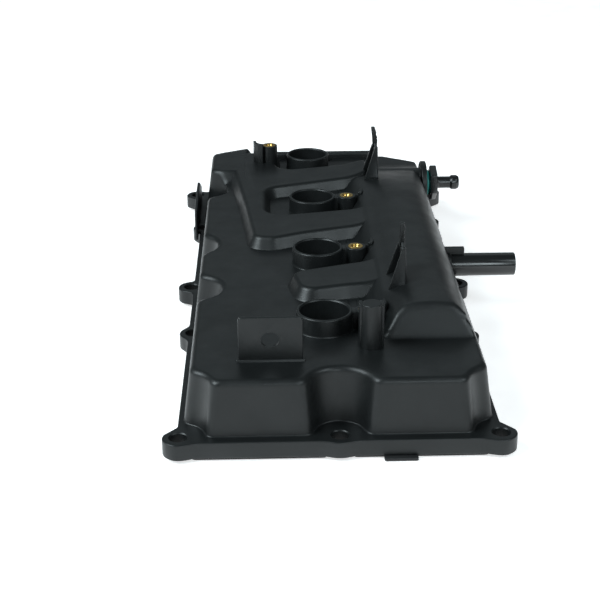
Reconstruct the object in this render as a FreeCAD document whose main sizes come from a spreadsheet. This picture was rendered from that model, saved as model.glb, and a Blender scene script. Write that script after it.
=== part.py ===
import FreeCAD, Part
import math
import os
import re

from FreeCAD import Placement, Rotation, Vector

# Moulded camshaft cover for one bank of a four-plug overhead-cam engine.
# Frame: X across the cover, Y along the row of plugs, Z up. The origin is on the gasket's sealing plane,
# midway between the two bolts on the cover's centre line.

doc = FreeCAD.newDocument("camshaft_cover")

# ---------------------------------------------------------------- driving dimensions (mm, degrees)
DIMENSIONS = {
    "plug_pitch": 108.0,          # plug to plug, the engine's bore pitch
    "plug_line": -6.0,            # X of the plug row
    "first_plug": -141.5,         # Y of the plug nearest the front
    "tube_radius": 17.7,
    "tube_bore": 15.5,
    "rim_level": 58.5,
    "flange_foot": 2.0,           # underside of the flange above the sealing plane
    "flange_height": 10.5,
    "boss_radius": 9.7,
    "bolt_hole": 5.3,
    "scallop_radius": 16.0,       # clearance for a socket around each bolt
    "valley_level": 46.0,
    "plateau_rise": 9.5,
    "wall": 3.0,
    "draft": 7.6,
    "ridge_draft": 25.0,
    "dome_start": -162.0,
    "dome_length": 348.0,
    "gasket_height": 4.5,
    "gasket_width": 4.0,
    "gasket_inset": 1.5,
    "gasket_bolt_gap": 8.2,       # from a bolt's centre to the gasket that passes inside it
    "seal_radius": 16.4,
    "seal_bore": 12.8,
    "seal_height": 8.0,
    "insert_radius": 5.25,
    "insert_thread": 2.5,
    "insert_depth": 12.0,
    "coil_offset": 26.6,
    "coil_boss_radius": 7.4,
    "stand_x": -38.3,             # tall stand beside the last plug
    "stand_y": 173.0,
    "stand_top": 69.5,
    "column_x": 21.4,             # tall column beside the first plug
    "column_y": -171.0,
    "column_top": 75.5,
    "tab_width": 38.5,
    "tab_thickness": 2.4,
    "tab_top": 75.5,
    "pipe_radius": 8.3,
    "pipe_spigot": 7.7,           # the stretch of the pipe inside the cover's shroud
    "pipe_bore": 6.4,
    "pipe_start": 83.0,
    "pipe_length": 54.5,
    "pipe_y": -11.5,
    "pipe_level": 34.3,
    "valve_y": 158.5,
    "valve_level": 39.6,
    "valve_start": 72.0,
    "valve_barrel": 8.0,
    "valve_bore": 5.2,
    "valve_flats": 25.0,
    "nipple_radius": 4.9,
    "nipple_bore": 2.6,
    "plunger_radius": 4.8,
    "spring_wire": 0.4,
    "spring_radius": 3.9,
    "spring_length": 18.4,
    "spring_turns": 6.5,
    "baffle_thickness": 2.0,
    "valve_baffle_level": 27.0,
    "breather_baffle_level": 19.0,
    "screw_radius": 1.6,
    "screw_head_radius": 3.6,
    "screw_head_height": 2.2,
    "screw_length": 12.0,
    "post_radius": 4.0,
}

# Bolt centres, X and Y: the front edge, the far edge, then the left and right sides from the front.
BOLTS = [
    (-94.8, -218.6), (0.0, -218.6), (94.8, -218.6), (0.0, 218.6),
    (-92.4, -74.5), (-97.6, 6.0), (-92.4, 130.5), (-101.9, 213.0),
    (92.4, -84.5), (97.6, 6.0), (92.4, 138.5), (101.9, 213.0),
]

sheet = doc.addObject("Spreadsheet::Sheet", "Dimensions")
for row, (alias, number) in enumerate(DIMENSIONS.items(), start=1):
    sheet.set(f"A{row}", alias)
    sheet.set(f"B{row}", str(number))
    sheet.setAlias(f"B{row}", alias)
doc.recompute()


# ---------------------------------------------------------------- helpers
def cell(alias):
    """The number in the sheet's named cell."""
    return float(sheet.get(alias))


def bound(formula):
    """A formula in cell names, such as 'wall + 1', written for setExpression."""
    def prefixed(word):
        return "Dimensions." + word[0] if word[0] in DIMENSIONS else word[0]

    return re.sub(r"[a-z_]+", prefixed, str(formula))


def bind(item, **formulas):
    """Ties properties of an object to formulas in cell names."""
    for name, formula in formulas.items():
        item.setExpression(name, bound(formula))
    return item


def place(item, at, turn=None):
    """Puts an object at three coordinates, each a number or a formula in cell names."""
    item.Placement = Placement(Vector(), turn or Rotation())
    for axis, formula in zip("xyz", at):
        item.setExpression(f"Placement.Base.{axis}", bound(formula))
    return item


ALONG_X = Rotation(Vector(0, 0, 1), Vector(1, 0, 0))
ALONG_Y = Rotation(Vector(0, 0, 1), Vector(0, 1, 0))
ACROSS_X = Rotation(Vector(1, 1, 1), 120)      # lays a sketch's own X and Y along the cover's Y and Z
ACROSS_Y = Rotation(Vector(1, 0, 0), 90)       # lays a sketch's own X and Y along the cover's X and Z


def cylinder(name, radius, height, at, turn=None):
    item = doc.addObject("Part::Cylinder", name)
    bind(item, Radius=radius, Height=height)
    return place(item, at, turn)


def block(name, spans, at):
    """A box with its lowest corner at a place; spans are its lengths along X, Y and Z."""
    item = doc.addObject("Part::Box", name)
    bind(item, Length=spans[0], Width=spans[1], Height=spans[2])
    return place(item, at)


def fuse(name, items):
    item = doc.addObject("Part::MultiFuse", name)
    item.Shapes = items
    item.Refine = True
    return item


def cut(name, base, tool):
    item = doc.addObject("Part::Cut", name)
    item.Base = base
    item.Tool = tool
    return item


def outline_sketch(name, points, placement):
    """A closed outline of straight edges through the points."""
    sketch = doc.addObject("Sketcher::SketchObject", name)
    for start, end in zip(points, points[1:] + points[:1]):
        sketch.addGeometry(Part.LineSegment(Vector(*start, 0), Vector(*end, 0)), False)
    sketch.Placement = placement
    return sketch


def extrusion(name, sketch, direction, length, taper=0):
    item = doc.addObject("Part::Extrusion", name)
    item.Base = sketch
    item.DirMode = "Custom"
    item.Dir = direction
    item.Solid = True
    bind(item, LengthFwd=length)
    if taper:
        bind(item, TaperAngle=f"-({taper})")
    return item


def prism(name, points, level, height, taper=0):
    """An upright prism on an outline; a taper draws its sides in as they rise."""
    sketch = outline_sketch(name + "_outline", points, Placement(Vector(), Rotation()))
    sketch.setExpression("Placement.Base.z", bound(level))
    return extrusion(name, sketch, Vector(0, 0, 1), height, taper)


def inset(points, distance):
    """The outline, given anticlockwise, with every edge moved inwards by a distance."""
    moved = []
    for before, corner, after in zip(points[-1:] + points[:-1], points, points[1:] + points[:1]):
        first = Vector(corner[0] - before[0], corner[1] - before[1], 0).normalize()
        second = Vector(after[0] - corner[0], after[1] - corner[1], 0).normalize()
        inward = Vector(-first.y - second.y, first.x + second.x, 0)
        share = distance / (1 + first.dot(second))
        moved.append((corner[0] + inward.x * share, corner[1] + inward.y * share))
    return moved


def ring(name, outer, inner, height, at, turn=None):
    """A plain tube; radii, height and place are formulas."""
    tube = cylinder(name + "_outer", outer, height, at, turn)
    hole = cylinder(name + "_inner", inner, height, at, turn)
    return cut(name, tube, hole)


parts = {}


def part(node, item):
    """Names a finished sub-part."""
    item.Label = node
    parts[node] = item
    return item


# ---------------------------------------------------------------- outlines
FLANGE = [(-96, -226), (96, -226), (96, 130), (100, 170), (100, 214), (88, 226),
          (-88, 226), (-100, 214), (-100, 170), (-96, 130)]
WALLS = [(-92.5, -219.5), (92.5, -219.5), (92.5, 198), (62, 217), (-60, 217), (-92.5, 200)]

# The raised plateau: a strip that runs back along the left, and three ridges between the plugs.
PLATEAU = {
    "strip": [(-53.5, -6), (-30, -9), (-30, 43), (-40, 43), (-40, 102), (-30, 102), (-30, 208), (-60, 208),
              (-86, 196), (-88, 148), (-69.5, 147), (-66.8, 121), (-60.4, 67)],
    "front_ridge": [(-21, -106), (13, -97), (46, -92), (46, -46), (9, -55), (-28, -68)],
    "middle_ridge": [(-53.5, -6), (-36, -9), (-14, 1), (46, 20), (46, 60), (9, 53), (-42, 40)],
    "far_ridge": [(-42, 101), (-14, 111), (46, 132), (46, 172), (12, 163), (-42, 152)],
}

# The cam hump in cross-section, X and Z, from its left foot over the crown to the right wall.
DOME = [(20, 44), (88.3, 44), (87.3, 50), (83, 57.5), (76, 62.8), (67, 64.6), (58, 64.6), (48.6, 62.7), (38, 58.5),
        (31, 55.8)]
DOME_SLOPES = (14, 114)       # how far its front and far end faces lean back over the height below
DOME_HEIGHT = 22


def moulding(name, shrink):
    """The cover's upper body as one solid; shrink is 1 for the hollow inside it, a wall's thickness smaller."""
    margin = cell("wall") * shrink
    low = f"valley_level - {3 + 3 * shrink}"
    foot = "flange_foot + flange_height"
    wall_rise = f"valley_level - {margin} - ({foot})"
    pieces = [prism(name + "_walls", inset(WALLS, margin), foot, wall_rise, "draft")]
    if shrink:
        pieces.append(prism(name + "_foot", inset(WALLS, margin), "0", foot))
    for title, points in PLATEAU.items():
        rise = f"valley_level + plateau_rise - {margin} - ({low})"
        pieces.append(prism(f"{name}_{title}", inset(points, margin - 3), low, rise, "ridge_draft"))
    section = inset(DOME, margin)
    section[:2] = [(x, z - 3 * margin) for x, z in section[:2]]
    sketch = outline_sketch(name + "_dome_outline", section, Placement(Vector(), ACROSS_Y))
    start = cell("dome_start") + margin
    stop = start + cell("dome_length") - 2 * margin
    sketch.setExpression("Placement.Base.y", bound(f"dome_start + {margin}"))
    bar = extrusion(name + "_dome_bar", sketch, Vector(0, 1, 0), f"dome_length - {2 * margin}")
    base = cell("valley_level") - margin
    wedges = []
    for end, edge, back in (("front", start, start + DOME_SLOPES[0]), ("far", stop, stop - DOME_SLOPES[1])):
        points = [(edge, base), (back, base + DOME_HEIGHT), (edge, base + DOME_HEIGHT)]
        wedge = outline_sketch(f"{name}_{end}_slope", points, Placement(Vector(), ACROSS_X))
        wedges.append(extrusion(f"{name}_{end}_wedge", wedge, Vector(1, 0, 0), "100"))
    pieces.append(cut(name + "_dome", bar, fuse(name + "_wedges", wedges)))
    level = "0" if shrink else foot
    scallops = [cylinder(f"{name}_scallop_{number}", f"scallop_radius + {margin}", "90", (x, y, level))
                for number, (x, y) in enumerate(BOLTS)]
    return cut(name, fuse(name + "_body", pieces), fuse(name + "_scallops", scallops))


# ---------------------------------------------------------------- cover shell
plug_rows = [cell("first_plug") + number * cell("plug_pitch") for number in range(4)]
outside = moulding("outside", 0)
inside = moulding("inside", 1)

flange = prism("flange", FLANGE, "flange_foot", "flange_height")
bosses = [cylinder(f"boss_{number}", "boss_radius", "flange_height", (x, y, "flange_foot"))
          for number, (x, y) in enumerate(BOLTS)]
LIP = [(108, 10), (199, 10), (198, 26), (170, 38.5), (150, 38.5), (112, 33)]
lip_outline = outline_sketch("lip_outline", LIP, Placement(Vector(-99.6, 0, 0), ACROSS_X))
side_lip = extrusion("side_lip", lip_outline, Vector(1, 0, 0), "2.2")
far_band = block("far_band", ("100", "7", "8"), ("-48", "204.5", "valley_level - 2"))
valve_boss = cylinder("valve_boss", "12.5", "valve_start + 20 - 48", ("48", "valve_y", "valve_level"), ALONG_X)
closed_cover = fuse("closed_cover", [outside, flange, side_lip, far_band, valve_boss] + bosses)
hollow = cut("hollow", closed_cover, inside)

solids = []
cores = []
for number, y in enumerate(plug_rows):
    solids.append(cylinder(f"tube_{number}", "tube_radius", "rim_level - 2", ("plug_line", y, "2")))
    cores.append(cylinder(f"tube_core_{number}", "tube_bore", "100", ("plug_line", y, "-1")))
    cores.append(cylinder(f"seal_seat_{number}", "seal_radius", "seal_height + 3", ("plug_line", y, "-1")))

# A brass insert stands beside each of the three nearer plugs, in a boss joined to the tube by a web.
coil_x = "plug_line + coil_offset"
for number, y in enumerate(plug_rows[:3]):
    solids.append(cylinder(f"coil_boss_{number}", "coil_boss_radius", "rim_level - valley_level + 3",
                           (coil_x, y, "valley_level - 3")))
    solids.append(block(f"coil_web_{number}", ("8", "7", "rim_level - valley_level + 2"),
                        ("plug_line + tube_radius - 1", y - 3.5, "valley_level - 3")))
    cores.append(cylinder(f"coil_core_{number}", "insert_radius", "insert_depth",
                          (coil_x, y, "rim_level - insert_depth")))
    solids.append(block(f"coil_hook_{number}", ("3", "9", "rim_level - valley_level + 4"),
                        ("plug_line + coil_offset + 9", y + 5, "valley_level - 3")))
    solids.append(block(f"coil_hook_foot_{number}", ("9", "2.4", "rim_level - valley_level + 1"),
                        ("plug_line + coil_offset + 2", y + 5, "valley_level - 3")))

# Tall stand with an insert and a curved blade, and the tall column beside the first plug.
solids.append(cylinder("stand", "6.5", "stand_top - valley_level + 3",
                       ("stand_x", "stand_y", "valley_level - 3")))
blade_height = "stand_top - valley_level + 4"
solids.append(block("stand_blade", ("2.4", "10", blade_height),
                    ("stand_x - 13.6", "stand_y - 6", "valley_level - 3")))
solids.append(block("stand_blade_turn", ("8.4", "2.2", blade_height),
                    ("stand_x - 13.6", "stand_y - 7.8", "valley_level - 3")))
solids.append(block("stand_web", ("8", "3", "stand_top - valley_level + 1"),
                    ("stand_x - 12", "stand_y - 1", "valley_level - 3")))
cores.append(cylinder("stand_core", "insert_radius", "insert_depth",
                      ("stand_x", "stand_y", "stand_top - insert_depth")))
solids.append(cylinder("column", "6.2", "column_top - valley_level + 3",
                       ("column_x", "column_y", "valley_level - 3")))
for side in (-1, 1):
    solids.append(block(f"column_fin_{side + 1}", ("2", "9", "column_top - valley_level + 1"),
                        (f"column_x + {side * 6.5 - 1}", "column_y - 1", "valley_level - 3")))

# Upright tab with an oblong hole.
tab_height = "tab_top - valley_level + 2"
tab = block("tab_plate", ("tab_width", "tab_thickness", tab_height), ("-59.3", "-190", "valley_level - 2"))
tab_foot = block("tab_foot", ("tab_width + 3", "tab_thickness + 2", "4"), ("-60.8", "-192", "valley_level - 2"))
solids += [tab, tab_foot]
for side in (-1, 1):
    cores.append(cylinder(f"tab_hole_{side + 1}", "4.75", "8", (-40.3 + side * 0.75, "-192.5", "61"), ALONG_Y))

# Two upright harness fins: a blade along the row, a flange that leans back in front of it, another behind, and a
# strip at the top. Each outline is measured from the fin's own place.
FIN_BLADE = [(-18.5, 56), (8, 56), (8, 62), (4.5, 80), (1.6, 85.5), (-2.2, 85.5), (-18.5, 62)]
FIN_FRONT = [(-10.8, -11), (1.8, -5), (1.8, 0), (1, 28.5), (-1, 28.5), (-10.8, -7.9)]
FIN_BACK = [(-10, 53), (0, 58), (0, 82), (-1.8, 82), (-10, 57)]
FIN_TOP = [(-1.9, 82), (1.7, 82), (1.9, 90), (1.2, 98.7), (-1.6, 98.7), (-1.7, 90)]
FIN_LEAN = Rotation(Vector(1, 0, 0), 55.6)
for number, (x, y, z) in enumerate(((46.5, -95.0, 0.0), (46.8, 131.0, -2.0))):
    for title, points, origin, turn, direction, depth in (
            ("blade", FIN_BLADE, (x - 0.6, y, z), ACROSS_X, Vector(1, 0, 0), "2.2"),
            ("front", FIN_FRONT, (x, y - 17.5, z + 62.5), FIN_LEAN, Vector(0, -0.825, 0.565), "2"),
            ("back", FIN_BACK, (x, y + 6, z), ACROSS_Y, Vector(0, 1, 0), "1.8"),
            ("top", FIN_TOP, (x, y - 1.8, z), ACROSS_Y, Vector(0, 1, 0), "2.4")):
        sketch = outline_sketch(f"fin_{title}_outline_{number}", points, Placement(Vector(*origin), turn))
        solids.append(extrusion(f"fin_{title}_{number}", sketch, direction, depth))

# Side outlets: the valve's boss with its end disc, and the pipe's shroud with a rib above it.
solids.append(cylinder("valve_disc", "18", "4.5", ("valve_start + 15.5", "valve_y", "valve_level"), ALONG_X))
solids.append(cylinder("pipe_shroud", "pipe_radius + 1.2", "13", ("pipe_start + 1", "pipe_y", "pipe_level"),
                       ALONG_X))
solids.append(block("pipe_rib", ("16", "3.8", "3.6"), ("84.6", "pipe_y - 1.9", "pipe_level + 9.3")))
cores.append(cylinder("valve_core", "valve_barrel", "40", ("60", "valve_y", "valve_level"), ALONG_X))
cores.append(cylinder("pipe_core", "pipe_spigot", "40", ("70", "pipe_y", "pipe_level"), ALONG_X))

# Posts that hang from the roof for the two baffles' screws.
VALVE_POSTS = [(x, y) for y in (58, 118, 174) for x in (44, 76)]
BREATHER_POSTS = [(x, y) for y in (-42, 19) for x in (46, 74)]
posts = [(x, y, "valve_baffle_level + baffle_thickness") for x, y in VALVE_POSTS]
posts += [(x, y, "breather_baffle_level + baffle_thickness") for x, y in BREATHER_POSTS]
for number, (x, y, level) in enumerate(posts):
    roof = 59 if y < 100 else 57 if y < 150 else 46
    solids.append(cylinder(f"post_{number}", "post_radius", f"{roof} - ({level})", (x, y, level)))
    cores.append(cylinder(f"post_core_{number}", "screw_radius", "screw_length - baffle_thickness",
                          (x, y, level)))

for number, (x, y) in enumerate(BOLTS):
    cores.append(cylinder(f"bolt_core_{number}", "bolt_hole", "flange_height + 4", (x, y, "flange_foot - 1")))


def gasket_band(name, level, height):
    """The band under the flange that passes inside every bolt."""
    inner_inset = cell("gasket_inset") + cell("gasket_width")
    outer = prism(name + "_outer", inset(FLANGE, cell("gasket_inset")), level, height)
    inner = prism(name + "_inner", inset(FLANGE, inner_inset), level, height)
    near = [cylinder(f"{name}_near_{number}", "gasket_bolt_gap", height, (x, y, level))
            for number, (x, y) in enumerate(BOLTS)]
    far = [cylinder(f"{name}_far_{number}", "gasket_bolt_gap + gasket_width", height, (x, y, level))
           for number, (x, y) in enumerate(BOLTS)]
    outer_edge = cut(name + "_outer_edge", outer, fuse(name + "_near", near))
    inner_edge = cut(name + "_inner_edge", inner, fuse(name + "_far", far))
    return cut(name, outer_edge, inner_edge)


groove = gasket_band("gasket_groove", "flange_foot - 1", "gasket_height - flange_foot + 1")
whole = fuse("whole_cover", [hollow] + solids)
cored = cut("cored_cover", whole, fuse("cores", cores))
part("cover_shell", cut("cover_shell", cored, groove))

gasket_body = gasket_band("gasket_band", "0", "gasket_height")
gasket_tab = block("gasket_tab", ("20", "6.5", "2"), ("25.5", "-229.3", "0"))
part("perimeter_gasket", fuse("perimeter_gasket", [gasket_body, gasket_tab]))


# ---------------------------------------------------------------- seals and inserts
for number, y in enumerate(plug_rows, start=1):
    seal = ring(f"seal_{number}", "seal_radius", "seal_bore", "seal_height", ("plug_line", y, "2"))
    part(f"plug_tube_seal_{number}", seal)

insert_places = [(f"coil_insert_{number}", coil_x, y, "rim_level")
                 for number, y in enumerate(plug_rows[:3], start=1)]
insert_places.append(("stand_insert", "stand_x", "stand_y", "stand_top"))
for node, x, y, top in insert_places:
    sleeve = ring(node + "_sleeve", "insert_radius", "insert_thread", "insert_depth",
                  (x, y, f"{top} - insert_depth"))
    part(node, sleeve)


# ---------------------------------------------------------------- pieces made as PartDesign bodies
def body_with_sketch(name, role, offset):
    """A body with one sketch on an origin plane, raised from it by a formula."""
    body = doc.addObject("PartDesign::Body", name)
    sketch = body.newObject("Sketcher::SketchObject", name + "_profile")
    plane = next(item for item in body.Origin.OriginFeatures if item.Role == role)
    sketch.AttachmentSupport = [(plane, "")]
    sketch.MapMode = "FlatFace"
    sketch.setExpression("AttachmentOffset.Base.z", bound(offset))
    return body, sketch


def draw(sketch, points):
    for start, end in zip(points, points[1:] + points[:1]):
        sketch.addGeometry(Part.LineSegment(Vector(*start, 0), Vector(*end, 0)), False)


def turned(name, profile, at, angle=360):
    """A body turned about the X axis from a profile of distance along it and radius."""
    body, sketch = body_with_sketch(name, "XY_Plane", "0")
    draw(sketch, profile)
    doc.recompute()
    revolution = body.newObject("PartDesign::Revolution", name + "_turning")
    revolution.Profile = sketch
    axis = next(item for item in body.Origin.OriginFeatures if item.Role == "X_Axis")
    revolution.ReferenceAxis = (axis, [""])
    revolution.Angle = angle
    return place(body, at)


VALVE_AT = ("valve_start", "valve_y", "valve_level")
barrel, bore = cell("valve_barrel"), cell("valve_bore")
nipple, passage = cell("nipple_radius"), cell("nipple_bore")

# The valve's body: barrel, seat for its O-ring, collar, nipple with a bead, and a bore that narrows outwards.
profile = [(0, bore), (0, barrel), (20, barrel), (22.6, barrel), (22.6, 10.6), (30, 10.6), (30, nipple),
           (41, nipple), (42, nipple + 1.1), (46, nipple + 1.1), (48, nipple), (48, passage), (25, passage),
           (25, bore)]
valve_turning = turned("valve_turning", profile, VALVE_AT)
hexagon = doc.addObject("Part::Prism", "valve_hexagon")
hexagon.Polygon = 6
bind(hexagon, Circumradius="valve_flats / sqrt(3)", Height="6")
place(hexagon, ("valve_start + 23.2", "valve_y", "valve_level"), ALONG_X)
hexagon_core = cylinder("valve_hexagon_core", "10", "8", ("valve_start + 22.5", "valve_y", "valve_level"),
                        ALONG_X)
part("pcv_valve_body", fuse("pcv_valve_body", [valve_turning, cut("valve_hex_ring", hexagon, hexagon_core)]))

part("pcv_valve_seat", ring("pcv_valve_seat", "valve_bore", "2.6", "2.5", VALVE_AT, ALONG_X))

# The plunger rests on the seat ring; its stem tapers towards the nipple.
head = cell("plunger_radius")
profile = [(2.8, 0), (2.8, head), (5.0, head), (5.0, 2.9), (13, 2.2), (21.0, 1.3), (21.0, 0)]
part("pcv_plunger", turned("pcv_plunger", profile, VALVE_AT))

# The spring round the stem, wound from eight-sided wire.
wire, coil = cell("spring_wire"), cell("spring_radius")
length, turns = cell("spring_length"), cell("spring_turns")
corners = [math.radians(45 * number) for number in range(9)]
section = Part.makePolygon([Vector(coil + wire * math.cos(a), 0, wire * math.sin(a)) for a in corners])
spring = doc.addObject("Part::Feature", "pcv_spring")
spring.Shape = Part.Wire(Part.makeHelix(length / turns, length, coil)).makePipeShell([section], True, True)
spring.Placement = Placement(Vector(cell("valve_start") + 5.8, cell("valve_y"), cell("valve_level")), ALONG_X)
part("pcv_spring", spring)

ring_seal = doc.addObject("Part::Torus", "valve_o_ring")
bind(ring_seal, Radius1="valve_barrel + 1.3", Radius2="1.3")
place(ring_seal, ("valve_start + 21.3", "valve_y", "valve_level"), ALONG_X)
part("pcv_o_ring", ring_seal)

pipe_end = cell("pipe_length")
pipe_wall, pipe_hole = cell("pipe_radius"), cell("pipe_bore")
pipe_profile = [(0, pipe_hole), (0, cell("pipe_spigot")), (14, cell("pipe_spigot")), (14, pipe_wall),
                (pipe_end - 1, pipe_wall), (pipe_end, pipe_wall - 1), (pipe_end, pipe_hole)]
part("breather_pipe", turned("breather_pipe", pipe_profile, ("pipe_start", "pipe_y", "pipe_level")))


# ---------------------------------------------------------------- baffles and their screws
def plate(name, corners, level, thickness):
    """A flat plate padded from a sketch of its outline."""
    body, sketch = body_with_sketch(name, "XY_Plane", level)
    draw(sketch, corners)
    doc.recompute()
    pad = body.newObject("PartDesign::Pad", name + "_pad")
    pad.Profile = sketch
    bind(pad, Length=thickness)
    return body


def drilled(name, item, places, level):
    """Screw holes, and clearance from the walls that bend in around the bolts."""
    tools = [cylinder(f"{name}_hole_{number}", "screw_radius", "baffle_thickness + 2", (x, y, f"{level} - 1"))
             for number, (x, y) in enumerate(places)]
    tools += [cylinder(f"{name}_relief_{number}", "scallop_radius + wall + 0.6", "60", (x, y, "0"))
              for number, (x, y) in enumerate(BOLTS)]
    return cut(name, item, fuse(name + "_tools", tools))


valve_plate = plate("valve_plate", [(36, 48), (84, 48), (84, 193), (36, 193)], "valve_baffle_level",
                    "baffle_thickness")
valve_rim = block("valve_rim", ("baffle_thickness", "145", "15.5"), ("36", "48", "valve_baffle_level"))
front_rim = block("front_rim", ("48", "baffle_thickness", "21.5"), ("36", "48", "valve_baffle_level"))
drains = [block(f"drain_{number}", ("12", "3", "6"), ("54", str(y), "valve_baffle_level - 2"))
          for number, y in enumerate((74, 88, 102, 148))]
tray = cut("valve_tray", fuse("valve_tray_body", [valve_plate, valve_rim, front_rim]), fuse("drains", drains))
part("pcv_chamber_baffle", drilled("pcv_chamber_baffle", tray, VALVE_POSTS, "valve_baffle_level"))

pan_floor = plate("pan_floor", [(38, -50), (82, -50), (82, 27), (38, 27)], "breather_baffle_level",
                  "baffle_thickness")
pan_walls = [block("pan_side", ("baffle_thickness", "77", "23.5"), ("38", "-50", "breather_baffle_level")),
             block("pan_front", ("44", "baffle_thickness", "30"), ("38", "-50", "breather_baffle_level")),
             block("pan_back", ("44", "baffle_thickness", "30"), ("38", "25", "breather_baffle_level"))]
slots = [block(f"pan_slot_{number}", ("3", "24", "6"), (str(x), "-24", "breather_baffle_level - 2"))
         for number, x in enumerate((50, 58, 66))]
pan = cut("pan", fuse("pan_body", [pan_floor] + pan_walls), fuse("pan_slots", slots))
pan = drilled("breather_chamber_baffle", pan, BREATHER_POSTS, "breather_baffle_level")
part("breather_chamber_baffle", pan)

for node, places, level in (("pcv_baffle_screws", VALVE_POSTS, "valve_baffle_level"),
                            ("breather_baffle_screws", BREATHER_POSTS, "breather_baffle_level")):
    screws = []
    for number, (x, y) in enumerate(places):
        shank = cylinder(f"{node}_shank_{number}", "screw_radius", "screw_length - 1", (x, y, level))
        button = cylinder(f"{node}_button_{number}", "screw_head_radius", "screw_head_height",
                          (x, y, f"{level} - screw_head_height"))
        screws.append(fuse(f"{node}_{number}", [shank, button]))
    group = doc.addObject("Part::Compound", node)
    group.Links = screws
    part(node, group)

# ---------------------------------------------------------------- checks and files
doc.recompute()
failed = [item.Name for item in doc.Objects if {"Invalid", "Error"} & set(item.State)]
for node, item in parts.items():
    if item.Shape.isNull() or not item.Shape.isValid():
        failed.append(node)
if failed:
    raise RuntimeError("failed: " + ", ".join(failed))

os.makedirs("parts", exist_ok=True)
for node, item in parts.items():
    item.Shape.exportStep(f"parts/{node}.step")
    box = item.Shape.BoundBox
    print(f"{node}: {item.Shape.Volume:.0f} mm3, {len(item.Shape.Solids)} solid(s), "
          f"{box.XLength:.1f} x {box.YLength:.1f} x {box.ZLength:.1f}")
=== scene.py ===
import math

import bmesh
import bpy
import numpy as np
from mathutils import Matrix


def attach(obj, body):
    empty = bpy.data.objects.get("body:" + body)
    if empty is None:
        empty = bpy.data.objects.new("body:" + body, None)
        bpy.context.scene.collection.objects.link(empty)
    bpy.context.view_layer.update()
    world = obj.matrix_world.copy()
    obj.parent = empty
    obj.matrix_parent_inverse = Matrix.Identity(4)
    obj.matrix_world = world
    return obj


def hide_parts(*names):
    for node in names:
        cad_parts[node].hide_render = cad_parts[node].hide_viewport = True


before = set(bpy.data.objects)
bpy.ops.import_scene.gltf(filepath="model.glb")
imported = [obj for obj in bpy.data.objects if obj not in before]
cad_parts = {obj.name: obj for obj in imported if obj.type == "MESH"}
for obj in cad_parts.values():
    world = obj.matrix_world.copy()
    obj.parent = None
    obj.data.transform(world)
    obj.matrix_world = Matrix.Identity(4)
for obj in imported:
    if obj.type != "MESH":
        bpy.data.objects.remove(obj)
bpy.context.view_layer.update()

bl_info = {
    "name": "Moulded camshaft cover",
    "version": (1, 0, 0),
    "blender": (4, 5, 0),
    "location": "3D View > Sidebar > Camshaft Cover",
    "description": "Builds the visible pieces of a moulded camshaft cover around its frame",
    "category": "Add Mesh",
}

# Millimetres throughout, in the frame's own axes; mesh_object turns them into metres.
MM = 0.001
PLUG_ROWS = np.array([-141.5, -33.5, 74.5, 182.5])
PLUG_X = -6.0
COIL_X = 20.6
RIM = 58.5
VALLEY = 46.0
PLATEAU_RISE = 9.5
FLANGE_FOOT = 2.0
FLANGE_TOP = 12.5
WALL = 3.0
DRAFT_SLOPE = math.tan(math.radians(7.6))
WALL_EDGE = 4.0
BOSS_RADIUS = 9.7
RECESS_RADIUS = 16.0
SIDE_RECESS_RADIUS = 12.0
CLIMB_START, CLIMB_END = 20, 46
CLIMB = 0.0098
BOLTS = np.array([
    (-94.8, -218.6), (0.0, -218.6), (94.8, -218.6), (0.0, 218.6),
    (-92.4, -74.5), (-97.6, 6.0), (-92.4, 130.5), (-101.9, 213.0),
    (92.4, -84.5), (97.6, 6.0), (92.4, 138.5), (101.9, 213.0),
])
FLANGE = np.array([(-96, -226), (96, -226), (96, 130), (100, 170), (100, 214), (88, 226),
                   (-88, 226), (-100, 214), (-100, 170), (-96, 130)], float)
WALLS = np.array([(-92.5, -219.5), (92.5, -219.5), (92.5, 198), (62, 217), (-60, 217), (-92.5, 200)], float)

# Raised parts of the roof, each an outline at its foot with the radius of every corner.
FRONT_RIDGE = ([(-21, -106), (13, -97), (44, -92), (44, -44), (9, -55), (-28, -68)], (13, 10, 10, 10, 10, 12))
PLATEAU = ([(-53.5, -6), (-36, -9), (-14, 1), (44, 20), (44, 60), (9, 53), (-40, 43), (-40, 102), (-14, 111),
            (44, 132), (44, 172), (12, 163), (-31, 152), (-31, 203), (-66, 200), (-71, 152), (-69.5, 144),
            (-66.8, 121), (-60.4, 67)],
           (11, 10, 12, 10, 10, 10, 12, 12, 10, 10, 10, 10, 11, 10, 10, 9, 9, 20, 20))

# The hump's height across the cover, at its square front and along its rounder middle.
HUMP_X = np.array([16, 20, 24, 28, 31, 33, 38, 43, 48.6, 55, 62, 69, 75, 80.4, 84, 87, 90, 100.0])
HUMP_FRONT = np.array([44, 44.5, 45, 45.6, 48.6, 52, 59.8, 63.8, 65.2,
                       65.8, 65.9, 65.5, 64.4, 60, 53.5, 47, 40, 20])
HUMP_MAIN = np.array([44.5, 45.2, 48.0, 53.6, 56.4, 57.6, 59.2, 61.2, 63.0,
                      64.3, 64.9, 64.4, 62.6, 58.5, 53.5, 47, 40, 20])

STAND = (-38.3, 173.0)
COLUMN = (21.4, -171.0)
PIPE_Y, PIPE_LEVEL = -11.5, 34.3
PIPE_START = 83
VALVE_Y, VALVE_LEVEL = 158.5, 39.6
VALVE_START = 72
INSERT_RADIUS = 5.25
INSERT_DEPTH = 12
INSERTS = [(COIL_X, y, RIM) for y in PLUG_ROWS[:3]] + [(*STAND, 69.5)]
LIGHT_COLOUR = (0.84, 0.96, 1.0)


# ---------------------------------------------------------------- shapes worked out as whole arrays
def smooth_max(a, b, width):
    """The larger of two fields, rounded where they cross: max(a, b) + h^2 width / 4, where h is
    1 - |a - b| / width, and never below 0."""
    h = np.maximum(width - np.abs(a - b), 0) / width
    return np.maximum(a, b) + h * h * width / 4


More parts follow.
